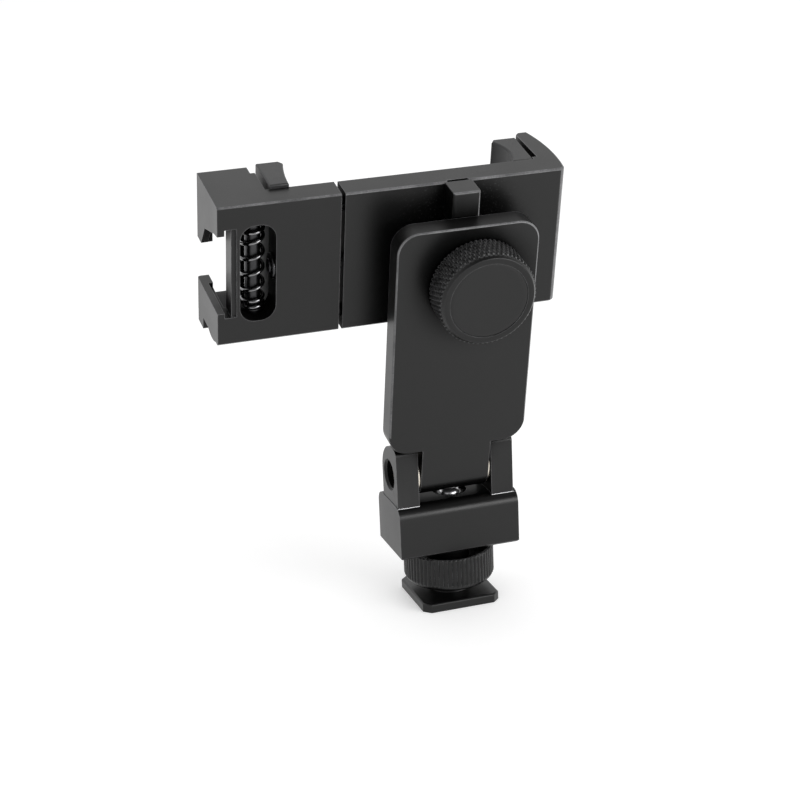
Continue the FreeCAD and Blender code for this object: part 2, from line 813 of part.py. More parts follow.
def guide_rods():
    rods = []
    for side in (-1, 1):
        height = clamp_mid + side * guide_offset
        rods.append(rod(guide_d, V(seam_left - guide_seat, rod_depth, height),
                        V(seam_left + guide_reach, rod_depth, height)))
    return lean(Part.makeCompound(rods))


PIECES = {
    "shoe_foot": shoe_foot,
    "lock_nut": lock_nut,
    "nut_washer": nut_washer,
    "base_yoke": base_yoke,
    "yoke_screw": yoke_screw,
    "yoke_screw_washer": yoke_screw_washer,
    "hinge_screw": hinge_screw,
    "hinge_nut": hinge_nut,
    "hinge_washers": hinge_washers,
    "arm": arm,
    "knob": knob,
    "knob_cap": knob_cap,
    "knob_screw": knob_screw,
    "knob_washer": knob_washer,
    "hub": hub,
    "friction_ring": friction_ring,
    "hub_screws": hub_screws,
    "tab": tab,
    "clamp_plate": clamp_plate,
    "right_pad": right_pad,
    "left_jaw": left_jaw,
    "left_pad": left_pad,
    "cross_rod": cross_rod,
    "spring_seats": spring_seats,
    "window_spring": window_spring,
    "draw_rod": draw_rod,
    "draw_washer": draw_washer,
    "draw_collar": draw_collar,
    "draw_bush": draw_bush,
    "return_spring": return_spring,
    "guide_rods": guide_rods,
}


def main():
    os.makedirs("parts", exist_ok=True)
    for name, make in PIECES.items():
        shape = make()
        if not shape.isValid() or not shape.Solids:
            print("CHECK", name, "valid", shape.isValid(), "solids", len(shape.Solids))
        shape.exportStep("parts/" + name + ".step")
        print(name, "solids", len(shape.Solids), "volume", round(shape.Volume, 1))


main()
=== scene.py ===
import json
import math

import bmesh
import bpy
from bpy.props import FloatProperty, FloatVectorProperty, IntProperty, PointerProperty
from mathutils import Matrix, Vector


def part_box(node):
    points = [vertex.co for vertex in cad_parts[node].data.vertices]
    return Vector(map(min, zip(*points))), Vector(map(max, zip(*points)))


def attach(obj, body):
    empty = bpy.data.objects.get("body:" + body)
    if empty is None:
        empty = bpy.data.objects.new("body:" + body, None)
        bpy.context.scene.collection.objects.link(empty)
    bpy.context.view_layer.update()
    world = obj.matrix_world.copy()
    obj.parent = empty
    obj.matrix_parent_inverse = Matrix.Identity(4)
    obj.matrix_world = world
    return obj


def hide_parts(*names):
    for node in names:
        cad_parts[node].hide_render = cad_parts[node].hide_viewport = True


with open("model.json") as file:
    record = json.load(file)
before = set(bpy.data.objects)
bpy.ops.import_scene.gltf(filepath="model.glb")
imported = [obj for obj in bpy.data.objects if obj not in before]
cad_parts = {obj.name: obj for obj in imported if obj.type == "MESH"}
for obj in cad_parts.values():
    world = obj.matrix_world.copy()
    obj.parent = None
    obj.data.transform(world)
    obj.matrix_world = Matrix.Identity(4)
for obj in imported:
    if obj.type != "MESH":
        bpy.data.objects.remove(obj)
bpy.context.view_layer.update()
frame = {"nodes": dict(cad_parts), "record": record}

bl_info = {
    "name": "Phone mount on a shoe foot",
    "version": (1, 0, 0),
    "blender": (4, 5, 0),
    "location": "3D View > Sidebar > Phone mount",
    "description": "Finishes the packed phone mount: round edges, knurls, springs, metals and a stage",
    "category": "Object",
}

MM = 0.001
UP = Vector((0, 0, 1))
JOINTS = {joint["name"]: joint for joint in frame["record"]["behaviour"]["joints"]}
BODY_OF = {node: body for body, nodes in frame["record"]["behaviour"]["bodies"].items() for node in nodes}
SLOT_OF = {part["node"]: part["material_slot"] for part in frame["record"]["subparts"]}


# Settings that a user would change

class FinishSettings(bpy.types.PropertyGroup):
    """Colours and surface grain."""
    black: FloatVectorProperty(name="Black metal", description="Colour of the anodised metal",
                               subtype="COLOR", size=3, min=0, max=1, default=(0.0012, 0.0012, 0.0012))
    # Rubbed edges: this lighter colour shows wear and also serves as a painted highlight along the edges.
    rubbed_and_highlit: FloatVectorProperty(name="Worn edge", description="Colour of anodising rubbed thin on the edges",
                              subtype="COLOR", size=3, min=0, max=1, default=(0.19, 0.19, 0.195))
    # Painted highlight: this bright metal colour on the yoke's concave corners stands in for the light line
    # those corners catch.
    painted_highlight: FloatVectorProperty(name="Bare edge", description="Colour of bare aluminium in the milled corners",
                              subtype="COLOR", size=3, min=0, max=1, default=(0.42, 0.42, 0.43))
    rubber: FloatVectorProperty(name="Pad", description="Colour of the grip pads",
                                subtype="COLOR", size=3, min=0, max=1, default=(0.016, 0.016, 0.0165))
    nylon: FloatVectorProperty(name="Washer nylon", description="Colour of the nylon washers and bushes",
                               subtype="COLOR", size=3, min=0, max=1, default=(0.006, 0.006, 0.006))
    brass: FloatVectorProperty(name="Brass", description="Colour of turned brass",
                               subtype="COLOR", size=3, min=0, max=1, default=(0.62, 0.47, 0.27))
    pale_brass: FloatVectorProperty(name="Pale brass", description="Colour of the plated hinge washers",
                                    subtype="COLOR", size=3, min=0, max=1, default=(0.90, 0.83, 0.72))
    dark_steel: FloatVectorProperty(name="Dark steel", description="Colour of blackened steel",
                                    subtype="COLOR", size=3, min=0, max=1, default=(0.06, 0.06, 0.062))
    spring: FloatVectorProperty(name="Spring wire", description="Colour of the springs' dark wire",
                                subtype="COLOR", size=3, min=0, max=1, default=(0.24, 0.24, 0.245))
    steel: FloatVectorProperty(name="Steel", description="Colour of turned steel",
                               subtype="COLOR", size=3, min=0, max=1, default=(0.42, 0.42, 0.43))
    chrome: FloatVectorProperty(name="Chrome", description="Colour of chrome plate",
                                subtype="COLOR", size=3, min=0, max=1, default=(0.83, 0.83, 0.84))
    grain: FloatProperty(name="Grain", description="Size of the blasted grain in the anodising",
                         subtype="DISTANCE", min=0.05 * MM, max=2 * MM, default=0.22 * MM)
    roughness: FloatProperty(name="Sheen", description="Roughness of the anodised metal",
                             min=0.1, max=1, default=0.33)


class EdgeSettings(bpy.types.PropertyGroup):
    """Small radii broken on the machined edges."""
    plate: FloatProperty(name="Plate edges", description="Edge radius on the arm, the clamp and the jaw",
                         subtype="DISTANCE", min=0, max=1 * MM, default=0.22 * MM)
    yoke: FloatProperty(name="Yoke edges", description="Edge radius on the hinge yoke",
                        subtype="DISTANCE", min=0, max=1 * MM, default=0.3 * MM)
    small: FloatProperty(name="Small edges", description="Edge radius on the tab, the foot and the hub",
                         subtype="DISTANCE", min=0, max=1 * MM, default=0.15 * MM)
    pad: FloatProperty(name="Pad edges", description="Edge radius on the grip pads",
                       subtype="DISTANCE", min=0, max=2 * MM, default=0.45 * MM)
    steps: IntProperty(name="Steps", description="Facets across one rounded edge", min=1, max=6, default=3)


class KnurlSettings(bpy.types.PropertyGroup):
    """Diamond knurl of the knob and straight flutes of the lock nut."""
    diamonds: IntProperty(name="Diamonds", description="Diamonds round the knob", min=20, max=120, default=62)
    length: FloatProperty(name="Diamond length", description="Length of one diamond along the knob's axis",
                          subtype="DISTANCE", min=0.5 * MM, max=5 * MM, default=2.5 * MM)
    depth: FloatProperty(name="Knurl depth", description="Depth of the diamond knurl",
                         subtype="DISTANCE", min=0, max=1 * MM, default=0.45 * MM)
    flutes: IntProperty(name="Flutes", description="Flutes round the lock nut", min=20, max=120, default=62)
    flute_depth: FloatProperty(name="Flute depth", description="Depth of a flute",
                               subtype="DISTANCE", min=0, max=1 * MM, default=0.28 * MM)


class StageSettings(bpy.types.PropertyGroup):
    """Camera, lamps and floor."""
    eye: FloatVectorProperty(name="Camera place", description="Where the camera stands",
                             subtype="TRANSLATION", size=3, default=(-0.15086, -0.43763, 0.20744))
    yaw: FloatProperty(name="Yaw", description="Turn of the view to the right",
                       subtype="ANGLE", default=math.radians(17.81))
    pitch: FloatProperty(name="Pitch", description="Tilt of the view below the horizon",
                         subtype="ANGLE", default=math.radians(18.97))
    roll: FloatProperty(name="Roll", description="Turn of the camera about its own axis",
                        subtype="ANGLE", default=math.radians(-2.4))
    lens: FloatProperty(name="Lens", description="Focal length on a 36 mm frame, in mm", default=96.75)
    front_lamp: FloatProperty(name="Front lamp", description="Power of the soft lamp in front", default=4.6)
    top_lamp: FloatProperty(name="Top lamp", description="Power of the soft lamp behind and above",
                            default=0.12)
    sky: FloatProperty(name="Sky", description="Strength of the light from all round", default=0.82)
    dark_side: FloatProperty(name="Dark side", description="Share of the white that the camera's side of the "
                             "room lacks in reflections", min=0, max=1, default=0.85)
    floor: FloatVectorProperty(name="Floor", description="Colour of the floor",
                               subtype="COLOR", size=3, min=0, max=1, default=(0.86, 0.86, 0.86))
    floor_glow: FloatProperty(name="Floor white", description="White added to the floor that the camera sees",
                              default=0.29)


# Node materials

def new_material(name):
    material = bpy.data.materials.new(name)
    material.use_nodes = True
    tree = material.node_tree
    shader = tree.nodes["Principled BSDF"]
    return material, tree, shader


def add_node(tree, kind, **values):
    node = tree.nodes.new(kind)
    for key, value in values.items():
        setattr(node, key, value)
    return node


def noise(tree, where, scale, detail=3.0, roughness=0.55):
    node = add_node(tree, "ShaderNodeTexNoise")
    node.inputs["Scale"].default_value = scale
    node.inputs["Detail"].default_value = detail
    node.inputs["Roughness"].default_value = roughness
    tree.links.new(where, node.inputs["Vector"])
    return node.outputs["Fac"]


def ramp(tree, value, low, high, to_low=0.0, to_high=1.0):
    node = add_node(tree, "ShaderNodeMapRange", clamp=True)
    node.inputs["From Min"].default_value = low
    node.inputs["From Max"].default_value = high
    node.inputs["To Min"].default_value = to_low
    node.inputs["To Max"].default_value = to_high
    tree.links.new(value, node.inputs["Value"])
    return node.outputs["Result"]


def math_node(tree, operation, first, second):
    node = add_node(tree, "ShaderNodeMath", operation=operation)
    for socket, value in zip(node.inputs, (first, second)):
        if isinstance(value, (int, float)):
            socket.default_value = value
        else:
            tree.links.new(value, socket)
    return node.outputs["Value"]


def colour_socket(sockets, name):
    return [socket for socket in sockets if socket.name == name and socket.type == "RGBA"][0]


def blend_colour(tree, factor, first, second):
    node = add_node(tree, "ShaderNodeMix", data_type="RGBA")
    tree.links.new(factor, node.inputs["Factor"])
    for name, colour in (("A", first), ("B", second)):
        socket = colour_socket(node.inputs, name)
        if hasattr(colour, "links"):
            tree.links.new(colour, socket)
        else:
            socket.default_value = (*colour, 1.0)
    return colour_socket(node.outputs, "Result")


def edge_rub_and_highlight(tree, radius, amount):
    """Bright on the outer edges, where a rounded normal turns away from the face: partly wear, partly a
    painted highlight.
    """
    rounded = add_node(tree, "ShaderNodeBevel", samples=6)
    rounded.inputs["Radius"].default_value = radius
    geometry = add_node(tree, "ShaderNodeNewGeometry")
    dot = add_node(tree, "ShaderNodeVectorMath", operation="DOT_PRODUCT")
    tree.links.new(rounded.outputs["Normal"], dot.inputs[0])
    tree.links.new(geometry.outputs["Normal"], dot.inputs[1])
    return ramp(tree, dot.outputs["Value"], 0.995, 0.90, 0.0, amount)


def painted_shade_in_hollows(tree, distance):
    """Painted shade: one on the open faces and zero deep in slots and bores, from ambient occlusion, so
    reflections there are turned down where shade falls.
    """
    node = add_node(tree, "ShaderNodeAmbientOcclusion", samples=8)
    node.inputs["Distance"].default_value = distance
    return ramp(tree, node.outputs["AO"], 0.45, 0.92)


def bump(tree, shader, height, strength, distance):
    node = add_node(tree, "ShaderNodeBump")
    node.inputs["Strength"].default_value = strength
    node.inputs["Distance"].default_value = distance
    tree.links.new(height, node.inputs["Height"])
    tree.links.new(node.outputs["Normal"], shader.inputs["Normal"])


def near_place(tree, where, centre, inner, outer):
    """One within a radius of a place on the piece, and zero beyond a second one."""
    node = add_node(tree, "ShaderNodeVectorMath", operation="DISTANCE")
    tree.links.new(where, node.inputs[0])
    node.inputs[1].default_value = centre
    return ramp(tree, node.outputs["Value"], outer, inner)


def black_metal(name, finish, grain_strength=0.35, edge_lightening=0.5, roughness=None, dusty=None,
                shine=0.38, shade_reach=8 * MM):
    """Satin black anodised aluminium with blasted grain, soft mottling and edges painted lighter, partly for
    wear and partly as a highlight.

    It is dusty round one place, given as (centre, inner radius, outer radius), and its reflection is turned
    down as painted shade within the shade_reach distance of other faces.
    """
    material, tree, shader = new_material(name)
    place = add_node(tree, "ShaderNodeTexCoord").outputs["Object"]
    grain = noise(tree, place, 1.0 / finish.grain, 2.0, 0.6)
    mottle = noise(tree, place, 55.0, 4.0, 0.6)
    scuffs = noise(tree, place, 420.0, 3.0, 0.7)
    # Edges are lightened towards the rubbed colour, partly as wear and partly as a painted highlight.
    edges = edge_rub_and_highlight(tree, 0.30 * MM, edge_lightening)
    edges = math_node(tree, "MULTIPLY", edges, ramp(tree, scuffs, 0.36, 0.58, 0.35, 1.0))
    lighter = tuple(channel * 1.25 for channel in finish.black)
    base = blend_colour(tree, ramp(tree, mottle, 0.35, 0.65), tuple(finish.black), lighter)
    if dusty is not None:
        specks = ramp(tree, noise(tree, place, 2600.0, 1.0, 0.6), 0.62, 0.74, 0.0, 0.35)
        specks = math_node(tree, "MULTIPLY", specks, near_place(tree, place, *dusty))
        dust = (0.060, 0.060, 0.061)
        base = blend_colour(tree, specks, base, dust)
    base = blend_colour(tree, edges, base, tuple(finish.rubbed_and_highlit))
    tree.links.new(base, shader.inputs["Base Color"])
    level = finish.roughness if roughness is None else roughness
    rough = ramp(tree, mottle, 0.3, 0.7, level - 0.03, level + 0.04)
    rough = math_node(tree, "SUBTRACT", rough, math_node(tree, "MULTIPLY", edges, 0.10))
    tree.links.new(rough, shader.inputs["Roughness"])
    # Painted shade: the reflection is turned down near other faces, darkening slots, bores and corners.
    if shade_reach:
        shaded_specular = ramp(tree, painted_shade_in_hollows(tree, shade_reach), 0.0, 1.0, 0.05, shine)
        tree.links.new(shaded_specular, shader.inputs["Specular IOR Level"])
    else:
        shader.inputs["Specular IOR Level"].default_value = shine
    bump(tree, shader, grain, grain_strength, 0.02 * MM)
    return material


def rubbed_highlit_edge(name, finish):
    """Anodising rubbed thin in patches along a rounded edge; its lighter colour is partly wear and partly a
    painted highlight.
    """
    material, tree, shader = new_material(name)
    place = add_node(tree, "ShaderNodeTexCoord").outputs["Object"]
    patches = noise(tree, place, 160.0, 3.0, 0.6)
    grain = noise(tree, place, 1.0 / finish.grain, 2.0, 0.7)
    rubbed = ramp(tree, patches, 0.35, 0.65, 0.45, 1.0)
    rubbed = math_node(tree, "MULTIPLY", rubbed, ramp(tree, grain, 0.35, 0.65, 0.45, 1.0))
    base = blend_colour(tree, rubbed, tuple(finish.black), tuple(finish.rubbed_and_highlit))
    tree.links.new(base, shader.inputs["Base Color"])
    tree.links.new(ramp(tree, grain, 0.3, 0.7, 0.32, 0.44), shader.inputs["Roughness"])
    bump(tree, shader, grain, 0.3, 0.02 * MM)
    return material


def painted_shade_black(name, finish):
    """Painted shade: near-black anodising with almost no reflection, put on faces deep in a window or seam
    where shade falls.
    """
    material, tree, shader = new_material(name)
    place = add_node(tree, "ShaderNodeTexCoord").outputs["Object"]
    grain = noise(tree, place, 1.0 / finish.grain, 2.0, 0.6)
    lighter = tuple(channel * 1.6 for channel in finish.black)
    base = blend_colour(tree, ramp(tree, grain, 0.35, 0.65), tuple(finish.black), lighter)
    tree.links.new(base, shader.inputs["Base Color"])
    tree.links.new(ramp(tree, grain, 0.3, 0.7, 0.45, 0.60), shader.inputs["Roughness"])
    shader.inputs["Specular IOR Level"].default_value = 0.04
    bump(tree, shader, grain, 0.3, 0.02 * MM)
    return material


def turned_metal(name, colour, roughness, grain=0.25):
    """Bare or plated metal with fine tool marks."""
    material, tree, shader = new_material(name)
    place = add_node(tree, "ShaderNodeTexCoord").outputs["Object"]
    stain = noise(tree, place, 260.0, 4.0, 0.6)
    marks = noise(tree, place, 4200.0, 2.0, 0.5)
    darker = tuple(channel * 0.72 for channel in colour)
    base = blend_colour(tree, ramp(tree, stain, 0.35, 0.7), tuple(colour), darker)
    tree.links.new(base, shader.inputs["Base Color"])
    shader.inputs["Metallic"].default_value = 1.0
    rough = ramp(tree, stain, 0.3, 0.7, max(roughness - 0.05, 0.02), roughness + 0.08)
    tree.links.new(rough, shader.inputs["Roughness"])
    bump(tree, shader, marks, grain, 0.01 * MM)
    return material


def moulded(name, colour, roughness, grain_size, strength):
    """Rubber or nylon with a fine moulded grain."""
    material, tree, shader = new_material(name)
    place = add_node(tree, "ShaderNodeTexCoord").outputs["Object"]
    grain = noise(tree, place, 1.0 / grain_size, 3.0, 0.65)
    mottle = noise(tree, place, 90.0, 3.0, 0.6)
    lighter = tuple(channel * 1.5 for channel in colour)
    base = blend_colour(tree, ramp(tree, mottle, 0.35, 0.65), tuple(colour), lighter)
    tree.links.new(base, shader.inputs["Base Color"])
    rough = ramp(tree, grain, 0.3, 0.7, roughness - 0.05, roughness + 0.07)
    tree.links.new(rough, shader.inputs["Roughness"])
    bump(tree, shader, grain, strength, 0.03 * MM)
    return material


def tab_place():
    """The middle of the tab's foot, where dust has settled on the plate."""
    low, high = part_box("tab")
    return (low + high) / 2


def finish_material(kind):
    """The material of one finish, made on first use."""
    name = "mount_" + kind
    if name in bpy.data.materials:
        return bpy.data.materials[name]
    finish = bpy.context.scene.mount_finish
    makers = {
        "black_anodised": lambda: black_metal(name, finish),
        "rub_and_highlight_edge": lambda: rubbed_highlit_edge(name, finish),
        "painted_shade_black": lambda: painted_shade_black(name, finish),
        "black_anodised_dusty": lambda: black_metal(name, finish, grain_strength=0.6,
                                                    dusty=(tab_place(), 8 * MM, 18 * MM)),
        "black_anodised_rubbed": lambda: black_metal(name, finish, grain_strength=0.5, edge_lightening=0.45),
        "black_knurled": lambda: black_metal(name, finish, grain_strength=0.10, edge_lightening=0.55, roughness=0.30,
                                             shine=0.34, shade_reach=0.7 * MM),
        "black_foot": lambda: black_metal(name, finish, edge_lightening=0.35, shade_reach=None),
        "black_cap": lambda: black_metal(name, finish, edge_lightening=0.08, shade_reach=None),
        "black_nylon": lambda: moulded(name, finish.nylon, 0.55, grain_size=0.25 * MM, strength=0.3),
        "black_rubber": lambda: moulded(name, finish.rubber, 0.45, grain_size=0.20 * MM, strength=0.3),
        "black_steel": lambda: turned_metal(name, finish.dark_steel, 0.30),
        "painted_corner_highlight": lambda: turned_metal(name, finish.painted_highlight, 0.30),
        "brass": lambda: turned_metal(name, finish.brass, 0.30),
        "pale_brass": lambda: turned_metal(name, finish.pale_brass, 0.28),
        "steel": lambda: turned_metal(name, finish.steel, 0.34),
        "spring_steel": lambda: turned_metal(name, finish.spring, 0.14),
        "chrome": lambda: turned_metal(name, finish.chrome, 0.30, grain=0.05),
    }
    return makers[kind]()


# Mesh helpers

def finish_object(piece, node, kind, smooth_angle=32.0):
    """Shades a finished piece, gives it its material and sets it in place of the frame's node.

    Its material comes first in the list, so faces that already have a higher index take later ones.
    """
    mesh = piece.data
    mesh.materials.append(finish_material(kind))
    mesh.shade_smooth()
    mesh.set_sharp_from_angle(angle=math.radians(smooth_angle))
    flat = piece.modifiers.new("even_flats", "WEIGHTED_NORMAL")
    flat.mode = "FACE_AREA"
    flat.weight = 80
    flat.keep_sharp = True
    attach(piece, BODY_OF[node])
    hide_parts(node)
    return piece


def object_from(bm, name):
    """A new object with the mesh, without the imported normals, which no longer fit it."""
    mesh = bpy.data.meshes.new(name)
    bm.to_mesh(mesh)
    bm.free()
    kept_normals = mesh.attributes.get("custom_normal")
    if kept_normals is not None:
        mesh.attributes.remove(kept_normals)
    piece = bpy.data.objects.new(name, mesh)
    bpy.context.scene.collection.objects.link(piece)
    return piece


def keep_node(node, kind=None):
    """A frame node that is shown as it is, with a better material."""
    piece = frame["nodes"][node]
    material = finish_material(kind or SLOT_OF[node])
    for slot in piece.material_slots:
        slot.material = material
    return piece


def axis_frame(origin, axis):
    """Turns local +Z on to an axis through a point."""
    turn = UP.rotation_difference(Vector(axis)).to_matrix().to_4x4()
    return Matrix.Translation(origin) @ turn


def reach(node, origin, axis):
    """How far a frame node reaches along an axis, and its largest radius about it."""
    along, radius = [], 0.0
    for vertex in frame["nodes"][node].data.vertices:
        offset = vertex.co - origin
        distance = offset.dot(axis)
        along.append(distance)
        radius = max(radius, (offset - axis * distance).length)
    return min(along), max(along), radius


def merged_copy(node):
    """The frame node's mesh with its doubles merged and its flats joined, ready for its edges."""
    bm = bmesh.new()
    bm.from_mesh(frame["nodes"][node].data)
    bmesh.ops.remove_doubles(bm, verts=bm.verts, dist=0.001 * MM)
    bmesh.ops.recalc_face_normals(bm, faces=bm.faces)
    bmesh.ops.dissolve_limit(bm, angle_limit=math.radians(0.6), verts=bm.verts, edges=bm.edges,
                             use_dissolve_boundaries=False, delimit=set())
    return bm


def round_edges(bm, edges, width, steps):
    """Rounds some edges and gives back the new faces."""
    made = bmesh.ops.bevel(bm, geom=edges, offset=width, offset_type="OFFSET", segments=steps, profile=0.5,
                           affect="EDGES", clamp_overlap=True, material=-1, loop_slide=True)
    return made["faces"]


def sharp_edges(bm, sharp_angle=40.0):
    limit = math.radians(sharp_angle)
    return [edge for edge in bm.edges if len(edge.link_faces) == 2 and edge.calc_face_angle(0) > limit]


def narrow_facet(face, forward):
    """Tells whether a face is a narrow facet on an edge of the front or back."""
    widest = 0.6 * MM
    longest = max(edge.calc_length() for edge in face.edges)
    slanting = 0.3 < abs(face.normal.dot(forward)) < 0.95
    return slanting and face.calc_area() < widest * longest


def dressed(node, width, steps, kind=None, sharp_angle=40.0, smooth_angle=32.0, deep=None, rubbed_and_highlit=None):
    """A copy of a frame node with its sharp edges rounded.

    On anodised pieces the edges are rubbed, and painted lighter as a highlight, where the rubbed_and_highlit
    test holds, and faces are painted dull black as shade where the deep test holds.
    """
    kind = kind or SLOT_OF[node]
    bm = merged_copy(node)
    edge_faces = round_edges(bm, sharp_edges(bm, sharp_angle), width, steps)
    if kind.startswith("black_anodised"):
        forward = Vector(JOINTS["knob_turn"]["axis"]).normalized()
        # Narrow facets on edges that the frame already rounds take the rubbed edge material too, which paints
        # a highlight on them.
        edge_faces += [face for face in bm.faces if narrow_facet(face, forward)]
        for face in edge_faces:
            if rubbed_and_highlit is None or rubbed_and_highlit(face):
                face.material_index = 1
    # Painted shade: faces that the deep test picks take the dull black material.
    if deep is not None:
        for face in bm.faces:
            if deep(face):
                face.material_index = 2
    piece = finish_object(object_from(bm, node + "_finished"), node, kind, smooth_angle)
    if kind.startswith("black_anodised"):
        piece.data.materials.append(finish_material("rub_and_highlight_edge"))
        piece.data.materials.append(finish_material("painted_shade_black"))
    return piece


def seam_test():
    """A test for faces in the seam between the clamp's two halves, which are painted dull black as shade."""
    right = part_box("left_jaw")[1].x
    near = 1.2 * MM

    def in_seam(face):
        return abs(face.calc_center_median().x - right) < near and abs(face.normal.x) > 0.35
    return in_seam


def window_test():
    """A test for faces in the jaw's window round the spring's rod, rounded edges included, which are painted
    dull black as shade.
    """
    forward = Vector(JOINTS["knob_turn"]["axis"]).normalized()
    upward = Vector((0, forward.z, -forward.y))
    low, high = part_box("cross_rod")
    middle = (low + high) / 2
    half_width = 4.3 * MM
    half_height = 11.9 * MM

    def in_window(face):
        offset = face.calc_center_median() - middle
        inside = abs(offset.x) < half_width and abs(offset.dot(upward)) < half_height
        return inside and abs(face.normal.dot(forward)) < 0.9
    return in_window


def lathe(profile, steps, rounded=(), rows=(), place=None):
    """A profile of (radius, height) points spun about Z.

    Some of its corners are rounded first, and stretches between two heights are cut into rows.
    """
    bm = bmesh.new()
    verts = [bm.verts.new((radius, 0, height)) for radius, height in profile]
    for first, second in zip(verts, verts[1:]):
        bm.edges.new((first, second))
    for low, high, count in rows:
        cut_rows(bm, low, high, count)
    for corners, offset, segments in rounded:
        places = [Vector((profile[i][0], 0, profile[i][1])) for i in corners]
        found = [min(bm.verts, key=lambda vertex: (vertex.co - place).length) for place in places]
        bmesh.ops.bevel(bm, geom=found, offset=offset, offset_type="OFFSET",
                        segments=segments, profile=0.5, affect="VERTICES", material=-1)
    bmesh.ops.spin(bm, geom=bm.verts[:] + bm.edges[:], cent=(0, 0, 0), axis=(0, 0, 1), dvec=(0, 0, 0),
                   angle=2 * math.pi, steps=steps, use_merge=True, use_duplicate=False)
    bmesh.ops.remove_doubles(bm, verts=bm.verts, dist=0.0005 * MM)
    bmesh.ops.recalc_face_normals(bm, faces=bm.faces)
    if place is not None:
        bmesh.ops.transform(bm, matrix=place, verts=bm.verts)
    return bm


def cut_rows(bm, low, high, count):
    """Cuts the profile's stretch between two heights into rows."""
    for edge in bm.edges[:]:
        ends = sorted(vertex.co.z for vertex in edge.verts)
        if abs(ends[0] - low) < 0.01 * MM and abs(ends[1] - high) < 0.01 * MM:
            bmesh.ops.subdivide_edges(bm, edges=[edge], cuts=count - 1)


def cut_rim(bm, inner, limit):
    """Draws every point outside an inner radius in to the limit that its angle and height give."""
    for vertex in bm.verts:
        now = vertex.co.xy.length
        if now <= inner:
            continue
        allowed = limit(math.atan2(vertex.co.y, vertex.co.x), vertex.co.z)
        if now > allowed:
            vertex.co.xy *= allowed / now


# The pieces

class BuildOperator:
    """What every build step shares."""
    bl_options = {"REGISTER"}

    @classmethod
    def poll(cls, context):
        return context.scene is not None


class MOUNT_OT_shoe_foot(BuildOperator, bpy.types.Operator):
    """Square foot with cut corners and a threaded stud"""
    bl_idname = "mount.shoe_foot"
    bl_label = "Shoe foot"

    def execute(self, context):
        edges = context.scene.mount_edges
        dressed("shoe_foot", edges.small, edges.steps, "black_foot")
        return {"FINISHED"}


def flute_limit(radius, flutes, depth):
    """How far out a rim with straight rounded flutes reaches."""
    def limit(angle, height):
        wave = abs(math.sin(angle * flutes / 2)) ** 0.8
        return radius - depth * (1 - wave)
    return limit


class MOUNT_OT_lock_nut(BuildOperator, bpy.types.Operator):
    """Thumb nut with straight flutes, a dished top and its washer"""
    bl_idname = "mount.lock_nut"
    bl_label = "Lock nut"

    def execute(self, context):
        knurl = context.scene.mount_knurl
        low, high = (corner.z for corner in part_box("lock_nut"))
        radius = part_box("lock_nut")[1].x
        bore = 4.83 * MM
        taper = 1.2 * MM
        taper_top = low + 1.5 * MM
        lip = 0.3 * MM
        dish = 9.6 * MM
        dish_floor = high - 2.6 * MM
        knee = low + 0.65 * MM
        profile = [(bore, low), (radius - taper, low), (radius - 0.35 * taper, knee), (radius, taper_top),
                   (radius, high - lip), (radius - lip, high), (dish, high), (dish, dish_floor),
                   (bore, dish_floor), (bore, low)]
        rows = [(low, knee, 4), (knee, taper_top, 4), (high - lip, high, 3)]
        rounded = [((1, 6), 0.12 * MM, 2)]
        bm = lathe(profile, knurl.flutes * 8, rounded, rows)
        cut_rim(bm, dish + 0.05 * MM, flute_limit(radius, knurl.flutes, knurl.flute_depth))
        # Painted shade: the dish's faces take the dull black material.
        for face in bm.faces:
            if face.calc_center_median().xy.length < dish + 0.02 * MM:
                face.material_index = 1
        nut = finish_object(object_from(bm, "fluted_nut"), "lock_nut", "black_knurled", 40.0)
        nut.data.materials.append(finish_material("painted_shade_black"))
        keep_node("nut_washer")
        return {"FINISHED"}


class MOUNT_OT_yoke(BuildOperator, bpy.types.Operator):
    """Hinge yoke with two ears and a corner in front of each painted bright as a highlight"""
    bl_idname = "mount.yoke"
    bl_label = "Hinge yoke"

    def execute(self, context):
        edges = context.scene.mount_edges
        bm = merged_copy("base_yoke")
        hinge = Vector(JOINTS["arm_tilt"]["pos_m"])
        corner_width = 0.13 * MM
        shortest = 3 * MM
        highest = hinge.z - 3 * MM
        bore_reach = 3.6 * MM
        corners = []
        for edge in bm.edges:
            start, end = (vertex.co for vertex in edge.verts)
            along = abs(end.x - start.x)
            if along > shortest and not edge.is_convex and start.y < hinge.y and start.z < highest:
                corners.append(edge)
        # Painted highlight: the rounded concave corners at the ears' feet take a bright metal material.
        corner_faces = round_edges(bm, corners, corner_width, 2)
        for face in corner_faces:
            face.material_index = 1
        plain = [edge for edge in sharp_edges(bm) if not any(face.material_index for face in edge.link_faces)]
        round_edges(bm, plain, edges.yoke, edges.steps)
        # Painted shade: the faces round the hinge bore take the dull black material.
        for face in bm.faces:
            centre = face.calc_center_median()
            if (centre - hinge).yz.length < bore_reach and abs(face.normal.x) < 0.3:
                face.material_index = 2
        piece = finish_object(object_from(bm, "base_yoke_finished"), "base_yoke", SLOT_OF["base_yoke"])
        piece.data.materials.append(finish_material("painted_corner_highlight"))
        piece.data.materials.append(finish_material("painted_shade_black"))
        return {"FINISHED"}


